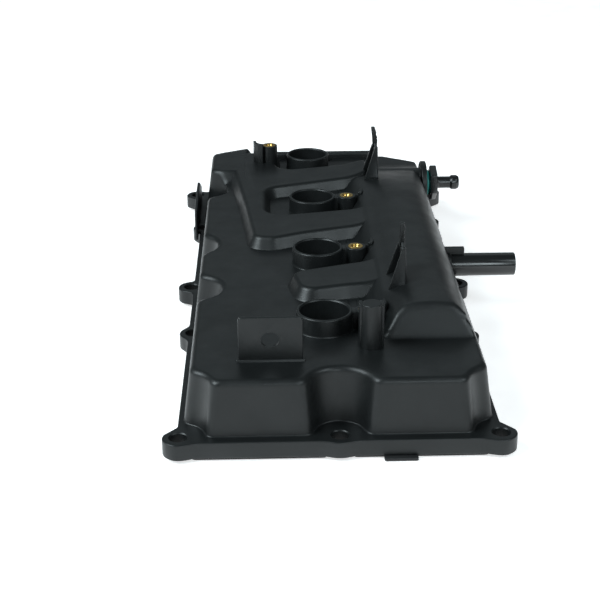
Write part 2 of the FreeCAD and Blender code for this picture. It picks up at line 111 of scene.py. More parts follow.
def smooth_min(a, b, width):
    """The smaller of two fields, rounded where they cross."""
    return -smooth_max(-a, -b, width)


def polygon_distance(corners, x, y):
    """Distance to a closed outline, negative inside it: the least of the distances to its edges."""
    start, end = corners, np.roll(corners, -1, 0)
    best = np.full(np.shape(x), 1e9)
    inside = np.zeros(np.shape(x), bool)
    for (ax, ay), (bx, by) in zip(start, end):
        dx, dy = bx - ax, by - ay
        share = np.clip(((x - ax) * dx + (y - ay) * dy) / (dx * dx + dy * dy), 0, 1)
        best = np.minimum(best, np.hypot(x - ax - share * dx, y - ay - share * dy))
        crosses = (ay > y) != (by > y)
        inside ^= crosses & (x < ax + (y - ay) / (dy if dy else 1e-9) * dx)
    return np.where(inside, -best, best)


def bolt_distance(x, y):
    """Distance to the nearest bolt's centre."""
    return np.min([np.hypot(x - bx, y - by) for bx, by in BOLTS], axis=0)


def wall_field(x, y, close=0.0):
    """Negative inside the walls' outline, with a round recess about every bolt; the right side's recesses close
    towards the roof."""
    on_right_side = (x > 60) & (np.abs(y) < 190)
    reach = np.where(on_right_side, SIDE_RECESS_RADIUS - 1.7 * close, RECESS_RADIUS)
    return smooth_max(polygon_distance(WALLS, x, y), reach - bolt_distance(x, y), 5.0)


def flange_field(x, y):
    """Negative inside the flange's outline, with a round boss about every bolt blended into the edge."""
    return smooth_min(polygon_distance(FLANGE, x, y), bolt_distance(x, y) - BOSS_RADIUS, 5.0)


def gasket_field(x, y):
    """Negative inside the gasket's outer edge, 1.5 mm in from the flange's and passing inside every bolt."""
    return smooth_max(polygon_distance(FLANGE, x, y) + 1.5, 8.2 - bolt_distance(x, y), 3.0)


def smooth_step(value):
    """3 v^2 - 2 v^3 of the value held between 0 and 1."""
    held = np.clip(value, 0, 1)
    return held * held * (3 - 2 * held)


def roof_level(x, y):
    """Height of the roof: the valley, a raised far left corner, and the hump over one cam, whose section across
    eases from a square front to a rounder middle, under slopes that lean back at the front and far end."""
    share = smooth_step((y + 152) / 44)
    section = np.interp(x, HUMP_X, HUMP_FRONT) * (1 - share) + np.interp(x, HUMP_X, HUMP_MAIN) * share
    near = VALLEY + (y + 162.0) / 12.0 * 19.0
    far = VALLEY + (186.0 - y) / 100.0 * 19.0
    hump = smooth_min(smooth_min(section, near, 4.6), far, 9.0)
    corner_rise = PLATEAU_RISE + 0.1
    corner = VALLEY + corner_rise * smooth_step((y - 141) / 9) * smooth_step((-50 - x) / 8)
    return smooth_max(np.maximum(hump, corner), np.full(np.shape(x), VALLEY), 3.0)


def edged_level(inset, roof, radius=WALL_EDGE):
    """Height at a distance in from the walls' foot: the drafted wall, an arc of the radius, then the roof."""
    draft = math.atan(DRAFT_SLOPE)
    centre = (roof - radius - FLANGE_TOP) * DRAFT_SLOPE + radius / math.cos(draft)
    across = np.clip(centre - inset, 0, radius)
    arc = roof - radius + np.sqrt(np.maximum(radius ** 2 - across ** 2, 0))
    wall = FLANGE_TOP + np.maximum(inset, 0) / DRAFT_SLOPE
    return np.where(inset >= centre, roof, np.minimum(np.where(across < radius, arc, wall), wall))


def around(count_side, count_end, half_width, half_length):
    """A rectangle's loop: evenly along each side between y = -150 and 150, then round each end."""
    y = np.linspace(-150, 150, count_side, endpoint=False)
    turn = np.linspace(0, 460, count_end, endpoint=False)
    knots = [0, 100, 360, 460]
    right = np.stack([np.full(count_side, half_width), y], 1)
    far = np.stack([np.interp(turn, knots, [half_width, half_width, -half_width, -half_width]),
                    np.interp(turn, knots, [150, half_length, half_length, 150])], 1)
    return np.concatenate([right, far, -right, -far])


def rays(count_side, count_end):
    """Straight lines from outside the cover to a loop inside its walls, each with a place on a spine: a slot
    6 mm wide at x = 14, with round ends."""
    y = np.linspace(-150, 150, count_side, endpoint=False)
    angle = np.pi * np.linspace(0, 1, count_end, endpoint=False)
    side = np.stack([np.full(count_side, 3.0), y], 1)
    far = np.stack([3 * np.cos(angle), 150 + 3 * np.sin(angle)], 1)
    spine = np.concatenate([side, far, -side, -far]) + (14, 0)
    return around(count_side, count_end, 130.0, 250.0), around(count_side, count_end, 62.0, 176.0), spine


def crossing(field, level, start, end):
    """Where each ray meets field = level, found by halving the ray 30 times."""
    low, high = np.zeros(len(start)), np.full(len(start), 0.97)
    for _ in range(30):
        middle = (low + high) / 2
        at = start + (end - start) * middle[:, None]
        outside = field(at[:, 0], at[:, 1]) > level
        low, high = np.where(outside, middle, low), np.where(outside, high, middle)
    return start + (end - start) * low[:, None]


def wall_ring(inset, within, start, end):
    """Where each ray meets the walls at an inset from their foot; within is 0 outside and the wall inside."""
    close = max(inset - within, 0)
    return crossing(lambda x, y: wall_field(x, y, close), -inset, start, end)


def ring_at(points, height):
    """The points of a ring, all lifted to a height or each to its own."""
    return np.column_stack([points, np.broadcast_to(height, len(points))])


def skin(rings, loop=False):
    """Closed surface through rings of equal length: quads between neighbours, and a flat face over each end."""
    rings = np.asarray(rings, float)
    count, length = rings.shape[:2]
    verts = rings.reshape(-1, 3)
    index = np.arange(count * length).reshape(count, length)
    upper = np.roll(index, -1, 0) if loop else index[1:]
    lower = index if loop else index[:-1]
    quads = np.stack([lower, np.roll(lower, -1, 1), np.roll(upper, -1, 1), upper], -1).reshape(-1, 4)
    a, b, c, d = (verts[quads[:, i]] for i in range(4))
    volume = np.einsum("ij,ij->", a, np.cross(b, c)) + np.einsum("ij,ij->", a, np.cross(c, d))
    caps = [] if loop else [index[0][::-1], index[-1]]
    for cap in caps:
        fan = verts[cap]
        volume += np.einsum("ij,ij->", np.repeat(fan[:1], length - 2, 0), np.cross(fan[1:-1], fan[2:]))
    faces = quads.tolist() + [cap.tolist() for cap in caps]
    if volume < 0:
        faces = [face[::-1] for face in faces]
    return verts, faces


def chain(points, radii, step=12.0):
    """An open chain of points with each inner corner turned into an arc of its own radius."""
    points = np.asarray(points, float)
    out = [points[0]]
    for before, corner, after, radius in zip(points[:-2], points[1:-1], points[2:], radii):
        first, second = before - corner, after - corner
        room = min(np.linalg.norm(first), np.linalg.norm(second)) * 0.49
        first, second = first / np.linalg.norm(first), second / np.linalg.norm(second)
        half = math.acos(np.clip(first @ second, -1, 1)) / 2
        if radius <= 0 or half > math.pi / 2 - 0.01:
            out.append(corner)
            continue
        reach = min(radius / math.tan(half), room)
        radius = reach * math.tan(half)
        bisector = (first + second) / np.linalg.norm(first + second)
        centre = corner + bisector * radius / math.sin(half)
        begin, finish = corner + first * reach - centre, corner + second * reach - centre
        swing = math.atan2(begin[0] * finish[1] - begin[1] * finish[0], begin @ finish)
        count = max(2, int(abs(math.degrees(swing)) / step) + 1)
        angles = np.linspace(0, swing, count + 1)
        across = np.array([-begin[1], begin[0]])
        out.extend(centre + np.outer(np.cos(angles), begin) + np.outer(np.sin(angles), across))
    out.append(points[-1])
    return np.array(out)


def outline(corners, radius, spacing=4.0, step=9.0):
    """A closed outline with rounded corners, and the outward direction at each of its points."""
    corners = np.asarray(corners, float)
    area = np.sum(corners[:, 0] * np.roll(corners[:, 1], -1) - corners[:, 1] * np.roll(corners[:, 0], -1))
    if area < 0:
        corners = corners[::-1]
    radii = np.broadcast_to(radius, len(corners))
    places, normals = [], []
    for number, corner in enumerate(corners):
        before, after = corners[number - 1], corners[(number + 1) % len(corners)]
        first, second = corner - before, after - corner
        room = min(np.linalg.norm(first), np.linalg.norm(second)) * 0.49
        first, second = first / np.linalg.norm(first), second / np.linalg.norm(second)
        turn = math.atan2(first[0] * second[1] - first[1] * second[0], first @ second)
        reach = min(radii[number] * math.tan(abs(turn) / 2), room)
        size = reach / max(math.tan(abs(turn) / 2), 1e-9)
        count = max(1, int(abs(math.degrees(turn)) / step))
        angles = np.linspace(0, turn, count + 1)
        base = np.array([first[1], -first[0]])
        directions = np.outer(np.cos(angles), base) + np.outer(np.sin(angles), first)
        centre = corner - first * reach - base * size * np.sign(turn)
        places.append(centre + directions * size * np.sign(turn))
        normals.append(directions)
    result, outward = [], []
    for number, (place, normal) in enumerate(zip(places, normals)):
        result.append(place)
        outward.append(normal)
        follow = places[(number + 1) % len(places)][0]
        gap = np.linalg.norm(follow - place[-1])
        extra = int(gap / spacing)
        share = (np.arange(extra) + 1)[:, None] / (extra + 1)
        result.append(place[-1] + (follow - place[-1]) * share)
        outward.append(np.repeat(normal[-1:], extra, 0))
    return np.concatenate(result), np.concatenate(outward)


UPRIGHT = np.eye(3)


def carried(path, profile, axes=UPRIGHT, origin=(0, 0, 0), loop=False):
    """A profile of (distance outwards, height) carried round a closed outline, then set on three axes."""
    places, normals = path
    rings = [np.column_stack([places + normals * out, np.full(len(places), rise)]) for out, rise in profile]
    return skin(np.asarray(rings) @ np.asarray(axes, float) + np.asarray(origin, float), loop)


def plate(corners, radius, thickness, edge, axes=UPRIGHT, origin=(0, 0, 0), spacing=4.0):
    """A flat plate of an outline, with its edges rounded over."""
    arc = np.radians(np.linspace(0, 90, 4))
    below = np.column_stack([-edge + edge * np.sin(arc), edge - edge * np.cos(arc)])
    above = np.column_stack([below[::-1, 0], thickness - below[::-1, 1]])
    return carried(outline(corners, radius, spacing), np.concatenate([below, above]), axes, origin)


def turned(profile, origin, axes=UPRIGHT, count=64, loop=False):
    """A profile of (radius, height) turned about the third axis."""
    angle = np.linspace(0, 2 * np.pi, count, endpoint=False)
    rings = [np.column_stack([r * np.cos(angle), r * np.sin(angle), np.full(count, h)]) for r, h in profile]
    return skin(np.asarray(rings) @ np.asarray(axes, float) + np.asarray(origin, float), loop)


# Local axes given as rows: where local x, y and z point in the cover's frame.
FACING_X = np.array([(0, 1, 0), (0, 0, 1), (1, 0, 0)])
FACING_Y = np.array([(1, 0, 0), (0, 0, 1), (0, -1, 0)])


def body_rings():
    """The cover's body as rings: under the flange, over its edge, up the drafted walls, over the roof to the
    spine, and the same again 3 mm inside from the spine back down to the flange."""
    start, end, spine = rays(190, 255)
    rings = []
    flange_edge = chain([(4.5, FLANGE_FOOT), (0, FLANGE_FOOT), (0, FLANGE_TOP), (1.7, FLANGE_TOP)],
                        (0.8, 1.7), 18)
    for inset, height in flange_edge[1:]:
        rings.append(ring_at(crossing(flange_field, -inset, start, end), height))
    for inset, height in chain([(-1.8, FLANGE_TOP), (0, FLANGE_TOP), (1.0, 20.0)], (1.7,), 20)[:-1]:
        rings.append(ring_at(wall_ring(inset, 0, start, end), height))
    for inset in (0.6, 1.4, 2.2, 3.0, 3.6, 3.9, 4.05, 4.25, 4.5, 4.8, 5.2, 5.7, 6.3, 7.1, 8.0):
        at = wall_ring(inset, 0, start, end)
        rings.append(ring_at(at, edged_level(inset, roof_level(at[:, 0], at[:, 1]))))
    edge = rings[-1][:, :2]
    closer_at_both_edges = np.interp(np.linspace(0, 1, 31), (0, 0.32, 0.92, 1), (0, 0.5, 0.95, 1))
    for share in closer_at_both_edges[1:]:
        at = edge + (spine - edge) * share
        rings.append(ring_at(at, roof_level(at[:, 0], at[:, 1])))
    rings.append(rings[-1] - (0, 0, WALL))
    within = wall_ring(10.5, WALL, start, end)
    for share in np.linspace(1, 0, 9):
        at = within + (spine - within) * share
        rings.append(ring_at(at, roof_level(at[:, 0], at[:, 1]) - WALL))
    for inset in (8.5, 7.6, 7.2, 6.9, 6.2, 5.0):
        at = wall_ring(inset, WALL, start, end)
        rings.append(ring_at(at, edged_level(inset - WALL, roof_level(at[:, 0], at[:, 1]) - WALL, 1.8)))
    rings.append(ring_at(wall_ring(3.2, WALL, start, end), FLANGE_TOP))
    rings.append(ring_at(wall_ring(WALL, WALL, start, end), FLANGE_FOOT))
    return rings


# ---------------------------------------------------------------- meshes
def mesh_object(name, shapes):
    """One object from closed shapes given in millimetres."""
    verts, faces, base = [], [], 0
    for points, corners in shapes:
        verts.append(points * MM)
        faces += [[index + base for index in face] for face in corners]
        base += len(points)
    mesh = bpy.data.meshes.new(name)
    mesh.from_pydata(np.concatenate(verts).tolist(), [], faces)
    mesh.validate()
    made = bpy.data.objects.new(name, mesh)
    bpy.context.scene.collection.objects.link(made)
    return made


def evaluated(made):
    """Swaps an object's mesh for the one its modifiers give."""
    bpy.context.view_layer.update()
    graph = bpy.context.evaluated_depsgraph_get()
    mesh = bpy.data.meshes.new_from_object(made.evaluated_get(graph), depsgraph=graph)
    made.modifiers.clear()
    made.data = mesh


def combined(name, added, removed=()):
    """The union of closed shapes, less others."""
    made = mesh_object(name, added[:1])
    tools = []
    for operation, shapes in (("UNION", added[1:]), ("DIFFERENCE", removed)):
        for number, shape in enumerate(shapes):
            tool = mesh_object(f"{name}_{operation}_{number}", [shape])
            step = made.modifiers.new(tool.name, "BOOLEAN")
            step.operation = operation
            step.solver = "MANIFOLD"
            step.object = tool
            tools.append(tool)
    evaluated(made)
    for tool in tools:
        bpy.data.meshes.remove(tool.data)
    made.data.name = name
    return made


def finished(made, material, replaces):
    """Shades a piece smooth up to its sharp edges, gives it a material, and hangs it on the cover."""
    made.data.materials.clear()
    made.data.materials.append(material)
    made.data.shade_smooth()
    made.data.set_sharp_from_angle(angle=math.radians(32))
    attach(made, "cover")
    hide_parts(*replaces)


# ---------------------------------------------------------------- materials
def moulded(name, colour, rough, grain=900.0, bump=0.06, sheen=0.5, edge_highlight=0.5, metallic=0.0):
    """A moulded or turned finish: fine grain, soft blotches of gloss, and a painted highlight that lightens the
    convex edges.
    """
    material = bpy.data.materials.new(name)
    material.use_nodes = True
    nodes, links = material.node_tree.nodes, material.node_tree.links
    shader = nodes["Principled BSDF"]
    shader.inputs["Metallic"].default_value = metallic
    shader.inputs["Specular IOR Level"].default_value = sheen
    place = nodes.new("ShaderNodeTexCoord")

    def noise(scale, detail, roughness=0.5):
        node = nodes.new("ShaderNodeTexNoise")
        node.inputs["Scale"].default_value = scale
        node.inputs["Detail"].default_value = detail
        node.inputs["Roughness"].default_value = roughness
        links.new(place.outputs["Object"], node.inputs["Vector"])
        return node.outputs["Fac"]

    def ramp(source, low, high, positions=(0.3, 0.7)):
        node = nodes.new("ShaderNodeValToRGB")
        for stop, position, value in zip(node.color_ramp.elements, positions, (low, high)):
            stop.position = position
            stop.color = (*value, 1)
        links.new(source, node.inputs["Fac"])
        return node.outputs["Color"]

    def mixed(kind, factor, first, second):
        node = nodes.new("ShaderNodeMix")
        node.data_type = "RGBA"
        node.blend_type = kind
        links.new(factor, node.inputs["Factor"])
        links.new(first, node.inputs["A"])
        links.new(second, node.inputs["B"])
        return node.outputs["Result"]

    dark = tuple(c * 0.82 for c in colour)
    light = tuple(min(c * 1.18, 1) for c in colour)
    # edge: the base colour lightened, a painted highlight for the convex edges.
    edge = tuple(min(c * (1 + edge_highlight) + edge_highlight * 0.006, 1) for c in colour)
    blotch = ramp(noise(28.0, 4, 0.6), dark, light)
    highlight_ramp = ramp(noise(160.0, 5, 0.65), edge, light)
    # Painted highlight: pointiness picks out the convex edges, which take the lighter colours in place of the
    # blotches.
    geometry = nodes.new("ShaderNodeNewGeometry")
    highlight_mask = ramp(geometry.outputs["Pointiness"], (0, 0, 0), (1, 1, 1), (0.505, 0.56))
    links.new(mixed("MIX", highlight_mask, blotch, highlight_ramp), shader.inputs["Base Color"])
    gloss = ramp(noise(45.0, 6, 0.6), (rough - 0.06,) * 3, (rough + 0.07,) * 3)
    links.new(gloss, shader.inputs["Roughness"])
    relief = nodes.new("ShaderNodeBump")
    relief.inputs["Strength"].default_value = bump
    relief.inputs["Distance"].default_value = 0.0006
    links.new(noise(grain, 3, 0.6), relief.inputs["Height"])
    links.new(relief.outputs["Normal"], shader.inputs["Normal"])
    return material


# ---------------------------------------------------------------- settings shown in the sidebar
def colour_setting(name, text, default):
    """A colour that the sidebar shows, with its default."""
    return bpy.props.FloatVectorProperty(name=name, description=text, subtype="COLOR", size=3, min=0, max=1,
                                         default=default)


class CoverSettings(bpy.types.PropertyGroup):
    plastic_colour: colour_setting("Plastic colour", "Colour of the glass-filled nylon moulding",
                                   (0.0055, 0.0064, 0.0066))
    plastic_roughness: bpy.props.FloatProperty(
        name="Plastic roughness", description="Roughness of the moulding's surface", default=0.40,
        min=0.1, max=1, subtype="FACTOR")
    brass_colour: colour_setting("Brass colour", "Colour of the threaded inserts", (0.50, 0.33, 0.10))
    seal_colour: colour_setting("Seal colour", "Colour of the valve's O-ring", (0.012, 0.20, 0.18))


class StageSettings(bpy.types.PropertyGroup):
    floor_colour: colour_setting("Floor colour", "Colour of the floor and backdrop", (0.93, 0.93, 0.93))
    lens: bpy.props.FloatProperty(name="Lens", description="Focal length of the camera", default=79.2,
                                  unit="CAMERA")


def settings():
    """The cover's own settings."""
    return bpy.context.scene.camshaft_cover


# ---------------------------------------------------------------- operators
def tube_shapes():
    """The four plug tubes, each a turned wall with a small flare where it leaves the roof and a rounded rim."""
    above = chain([(22.0, 45.2), (21.5, VALLEY), (17.7, 46.1), (17.7, RIM), (14.0, RIM)], (0, 3.4, 1.1), 15)
    profile = np.concatenate([[(17.7, 2.2), (17.7, 40)], above])
    return [turned(profile, (PLUG_X, y, 0), count=80) for y in PLUG_ROWS]


def tube_cutters():
    """The bore of each plug tube: a wider seat for its seal, the bore, and a chamfer at the rim."""
    profile = [(16.4, -1), (16.4, 10), (15.5, 10.6), (15.5, 57.5), (16.1, 58.2), (16.1, 60)]
    return [turned(profile, (PLUG_X, y, 0), count=80) for y in PLUG_ROWS]


def sliced(shape, places):
    """The same closed surface, with every face split where it crosses the planes x = place."""
    source = bpy.data.meshes.new("sliced")
    source.from_pydata(shape[0].tolist(), [], shape[1])
    mesh = bmesh.new()
    mesh.from_mesh(source)
    for place in places:
        bmesh.ops.bisect_plane(mesh, geom=mesh.verts[:] + mesh.edges[:] + mesh.faces[:], dist=1e-5,
                               plane_co=(place, 0, 0), plane_no=(1, 0, 0))
    mesh.to_mesh(source)
    mesh.free()
    verts = np.empty(len(source.vertices) * 3)
    source.vertices.foreach_get("co", verts)
    faces = [list(face.vertices) for face in source.polygons]
    bpy.data.meshes.remove(source)
    return verts.reshape(-1, 3), faces


def pad(corners, radius, profile):
    """A raised part of the roof: a profile carried round its outline, whose top then climbs into the hump
    by 0.0098 (x - 20)^2."""
    flat = carried(outline(corners, radius, 2.5, 6.0), profile)
    verts, faces = sliced(flat, np.arange(CLIMB_START, CLIMB_END + 1, 2.0))
    share = np.clip((verts[:, 2] - VALLEY) / PLATEAU_RISE, 0, 1)
    verts[:, 2] += share * CLIMB * np.clip(verts[:, 0] - CLIMB_START, 0, CLIMB_END - CLIMB_START) ** 2
    return verts, faces


def roof_shapes():
    """The ridge and the plateau, as pads with sloping sides, and the hollows that follow them underneath."""
    top = VALLEY + PLATEAU_RISE
    profile = chain([(5.6, 43.0), (5.4, VALLEY), (1.8, VALLEY), (-3.4, top), (-9.0, top)], (0, 5.0, 5.0), 9)
    hollow = [(2.0, 42.0), (-1.5, 43.0), (-6.0, 52.4), (-8.0, 52.5)]
    added = [pad(*raised, profile) for raised in (FRONT_RIDGE, PLATEAU)]
    removed = [carried(outline(*raised, 5.0, 12.0), hollow) for raised in (FRONT_RIDGE, PLATEAU)]
    return added, removed


def coil_boss_shapes(y):
    """A coil's boss beside its plug tube, the web between them, and the hook that stands off the boss."""
    web = [(10, y - 3.6), (17, y - 3.6), (17, y + 3.6), (10, y + 3.6)]
    hook = [(29.6, y + 5), (32.6, y + 4), (34.2, y + 9), (33.6, y + 15), (31.6, y + 15), (31.4, y + 9)]
    arm = [(22.6, y + 5), (31.6, y + 5), (31.6, y + 7.4), (22.6, y + 7.4)]
    boss = np.concatenate([[(7.4, 44)], chain([(7.4, VALLEY), (7.2, RIM), (6.0, RIM)], (0.8,), 20)])
    return [turned(boss, (COIL_X, y, 0), count=48),
            plate(web, 0.4, 13.5, 0.6, origin=(0, 0, 44.6)),
            plate(hook, 0.8, 15, 0.7, origin=(0, 0, 44)),
            plate(arm, 0.4, 13.2, 0.6, origin=(0, 0, 44))]


def tall_stand_shapes():
    """The tall stand beside the last plug, with its curved blade and the web that joins them."""
    stand = np.concatenate([[(6.9, 44)], chain([(6.8, VALLEY), (6.5, 69.5), (5.4, 69.5)], (0.8,), 20)])
    blade = [(-52, 177), (-51, 170.5), (-48, 166.6), (-43.6, 165.2), (-43.4, 167.4), (-46.4, 168.7),
             (-48.8, 171.6), (-49.6, 177)]
    web = [(-50, 172), (-42, 172), (-42, 175), (-50, 175)]
    return [turned(stand, (*STAND, 0), count=56),
            plate(blade, 1.0, 26.4, 0.6, origin=(0, 0, VALLEY), spacing=2.0),
            plate(web, 0.4, 24, 0.6, origin=(0, 0, 44))]


def column_shapes():
    """The tall column beside the first plug, with a rib down each side."""
    column = np.concatenate([[(6.9, 44)], chain([(6.7, VALLEY), (6.1, 75.5), (4.8, 75.5)], (0.8,), 20)])
    shapes = [turned(column, (*COLUMN, 0), count=48)]
    for x in (COLUMN[0] - 6.4, COLUMN[0] + 6.4):
        rib = [(x - 1.1, -172), (x + 1.1, -172), (x + 1.1, -163), (x - 1.1, -163)]
        shapes.append(plate(rib, 0.5, 29, 0.5, origin=(0, 0, 45)))
    return shapes


def tab_shapes():
    """The upright tab near the front, and the thicker foot it stands on."""
    tab = [(-59.3, 44), (-20.8, 44), (-20.8, 75.5), (-59.3, 75.5)]
    foot = [(-192.2, 44), (-187.6, 44), (-187.6, 48), (-190, 48.2)]
    return [plate(tab, (0.4, 0.4, 2.5, 2.5), 2.4, 0.7, FACING_Y, (0, -187.6, 0)),
            plate(foot, 0.8, 41.5, 0.7, FACING_X, (-60.8, 0, 0))]


def stand_shapes():
    """Coil bosses, tall stand, column and tab, in that order."""
    bosses = [shape for y in PLUG_ROWS[:3] for shape in coil_boss_shapes(y)]
    return bosses + tall_stand_shapes() + column_shapes() + tab_shapes()


def leaning(corners, thickness):
    """A flat plate through three or more corners in space, with its own axes along its first edge."""
    corners = np.asarray(corners, float)
    along = corners[1] - corners[0]
    along /= np.linalg.norm(along)
    facing = np.cross(corners[1] - corners[0], corners[-1] - corners[0])
    facing /= np.linalg.norm(facing)
    axes = np.array([along, np.cross(facing, along), facing])
    flat = (corners - corners[0]) @ axes.T
    origin = corners[0] - facing * thickness / 2
    return plate(flat[:, :2], 0.8, thickness, min(0.6, thickness / 3), axes, origin, 3.0)


def fin_shapes():
    """Two upright harness fins: a blade along the row, a flange leaning back in front of it, a second one
    behind, and a notched strip at the top."""
    shapes = []
    for x, y, z, foot, bend in ((46.5, -95.0, 0.0, 42, 0.0), (46.8, 131.0, -2.0, 36, -1.8)):
        blade = [(y - 18.5, foot), (y + 8, foot), (y + 8, 62 + z), (y + 4.5, 80 + z), (y + 1.6, 85.5 + z),
                 (y - 2.2, 85.5 + z), (y - 18.5, 62 + z)]
        shapes.append(plate(blade, 0.8, 2.2, 0.6, FACING_X, (x - 0.6, 0, 0), 3.0))
        front = [(x - 10.8, y - 18.5, foot), (x + 1.8, y - 18.5, foot), (x + 1.8, y - 17.5, 62.5 + z),
                 (x + 1.0, y - 1.4, 86 + z), (x - 1.0, y - 1.4, 86 + z), (x - 10.8, y - 17.5, 56 + z)]
        shapes.append(leaning(front, 2.0))
        back = [(x - 10, y + 7.5, foot), (x, y + 7.5, foot), (x, y + 5.0, 82 + z), (x - 1.8, y + 5.0, 82 + z),
                (x - 10, y + 7.5, 57 + z)]
        shapes.append(leaning(back, 1.8))
        top = [(x - 1.9, 82 + z), (x + 1.7, 82 + z), (x + 1.9, 88 + z), (x + 1.3, 88.8 + z), (x + 1.9, 90 + z),
               (x + 1.3 + bend * 0.3, 92 + z), (x + 1.9 + bend * 0.5, 94 + z), (x + 1.2 + bend, 98.7 + z),
               (x - 1.6 + bend, 98.7 + z), (x - 1.7 + bend * 0.4, 90 + z)]
        shapes.append(plate(top, 0.3, 2.4, 0.4, FACING_Y, (0, y + 0.6, 0), 3.0))
    return shapes


def side_shapes():
    """The left wall's lip, the raised band at the far edge, the valve's boss, and the pipe's shroud and rib."""
    lip = [(108, 10), (199, 10), (198, 26), (170, 38.5), (150, 38.5), (112, 33)]
    band = [(-48, 44), (52, 44), (52, 52), (-48, 52)]
    boss = chain([(12.5, 48), (12.5, 87.5), (18, 87.5), (18, 92), (14, 92)], (1.6, 0.9, 0.9), 15)
    shroud = chain([(9.5, 80), (9.5, 91), (8.6, 91)], (0.6,), 15)
    rib = [(80, -13.4), (100.6, -13.4), (100.6, -9.6), (80, -9.6)]
    return [plate(lip, (0.5, 0.5, 5, 5, 5, 3), 2.2, 0.8, FACING_X, (-99.6, 0, 0)),
            plate(band, (0.5, 0.5, 3, 3), 7, 1.5, FACING_Y, (0, 211.5, 0)),
            turned(boss, (0, VALVE_Y, VALVE_LEVEL), FACING_X, 72),
            turned(shroud, (0, PIPE_Y, PIPE_LEVEL), FACING_X, 64),
            plate(rib, 0.6, 4.4, 0.6, origin=(0, 0, 43.4))]


def spine_shape():
    """A round-ended bar that fills the slot along the body's spine, level with the roof."""
    corners = [(10.4, -153.6), (17.6, -153.6), (17.6, 153.6), (10.4, 153.6)]
    return plate(corners, 3.5, WALL + 0.2, 0.05, origin=(0, 0, VALLEY - WALL))


def hole_cutters():
    """Bolt holes, the tab's oblong hole, insert seats, and the valve's and pipe's bores."""
    bolt_hole = [(5.9, -1), (5.9, 2.6), (5.3, 3.2), (5.3, 11.8), (5.9, 12.4), (5.9, 14)]
    slot = [(-45.8, 56.25), (-34.8, 56.25), (-34.8, 65.75), (-45.8, 65.75)]
    cutters = [turned(bolt_hole, (x, y, 0), count=40) for x, y in BOLTS]
    cutters.append(plate(slot, 4.7, 10, 0.1, FACING_Y, (0, -184, 0), 3.0))
    for x, y, top in INSERTS:
        seat = [(INSERT_RADIUS, top - INSERT_DEPTH), (INSERT_RADIUS, top + 1)]
        cutters.append(turned(seat, (x, y, 0), count=40))
    cutters.append(turned([(8.0, 70), (8.0, 93)], (0, VALVE_Y, VALVE_LEVEL), FACING_X, 48))
    cutters.append(turned([(7.7, 78), (7.7, 98)], (0, PIPE_Y, PIPE_LEVEL), FACING_X, 48))
    return cutters


class CAMSHAFT_COVER_OT_shell(bpy.types.Operator):
    """Moulds the cover: flange, walls, roof, hump, tubes, stands, fins and side outlets in one skin"""
    bl_idname = "camshaft_cover.shell"
    bl_label = "Cover moulding"

    def execute(self, context):
        own = settings()
        material = moulded("glass_filled_nylon", own.plastic_colour, own.plastic_roughness, sheen=0.34)
        roof, hollows = roof_shapes()
        added = [skin(body_rings(), loop=True), spine_shape()]
        added += roof + tube_shapes() + stand_shapes() + fin_shapes() + side_shapes()
        made = combined("cover_moulding", added, hollows + tube_cutters() + hole_cutters())
        finished(made, material, replaces=["cover_shell"])
        return {"FINISHED"}


class CAMSHAFT_COVER_OT_gasket(bpy.types.Operator):
    """Lays the rubber gasket under the flange: a bead carried inside every bolt, with its tab at the front"""
    bl_idname = "camshaft_cover.gasket"
    bl_label = "Gasket"

    def execute(self, context):
        start, end, _ = rays(180, 260)
        section = chain([(2, 0), (3.8, 0), (3.8, 2.4), (0.2, 2.4), (0.2, 0), (2, 0)],
                        (0.8, 0.3, 0.3, 0.8), 30)[:-1]
        rings = [ring_at(crossing(gasket_field, -inset, start, end), height) for inset, height in section]
        tab = plate([(25.5, -229.3), (45.5, -229.3), (45.5, -222), (25.5, -222)], 1.2, 2.0, 0.4)
        material = moulded("gasket_rubber_finish", (0.008, 0.008, 0.0085), 0.62, 1400, 0.05, 0.35, 0.3)
        made = mesh_object("gasket_bead", [skin(rings, loop=True), tab])
        finished(made, material, replaces=["perimeter_gasket"])
        return {"FINISHED"}


class CAMSHAFT_COVER_OT_seals(bpy.types.Operator):
    """Fits a lipped rubber seal in the foot of each plug tube"""
    bl_idname = "camshaft_cover.seals"
    bl_label = "Plug seals"

    def execute(self, context):
        section = chain([(14, 2), (16.3, 2), (16.3, 10), (14.4, 10), (14.4, 6.5), (12.9, 4.6), (12.9, 2.6),
                         (14, 2)], (0.5, 0.6, 0.4, 0.8, 0.6, 0.4), 30)[:-1]
        shapes = [turned(section, (PLUG_X, y, 0), count=72, loop=True) for y in PLUG_ROWS]
        material = moulded("seal_rubber_finish", (0.016, 0.016, 0.017), 0.55, 1400, 0.05, 0.4, 0.3)
        names = [f"plug_tube_seal_{number}" for number in range(1, 5)]
        finished(mesh_object("plug_seals", shapes), material, replaces=names)
        return {"FINISHED"}


class CAMSHAFT_COVER_OT_inserts(bpy.types.Operator):
    """Turns the brass inserts: a knurled sleeve with a chamfered mouth and a threaded hole"""
    bl_idname = "camshaft_cover.inserts"
    bl_label = "Brass inserts"

    def execute(self, context):
        shapes = []
        for x, y, top in INSERTS:
            outside = [(5.2, -INSERT_DEPTH), (5.2, -1.2), (4.9, -1.0), (4.9, -0.7), (5.2, -0.5), (5.2, 0.0),
                       (4.9, 0.25), (3.3, 0.25), (3.1, 0.1), (2.75, -0.4)]
            thread = [(2.75 - 0.35 * (number % 2), -0.9 - 0.5 * number) for number in range(22)]
            shapes.append(turned(outside + thread + [(2.5, -INSERT_DEPTH)], (x, y, top), count=48, loop=True))
        material = moulded("turned_brass", settings().brass_colour, 0.30, 2600, 0.03, 0.5, 0.1, 1.0)
        names = ["coil_insert_1", "coil_insert_2", "coil_insert_3", "stand_insert"]
        finished(mesh_object("brass_inserts", shapes), material, replaces=names)
        return {"FINISHED"}


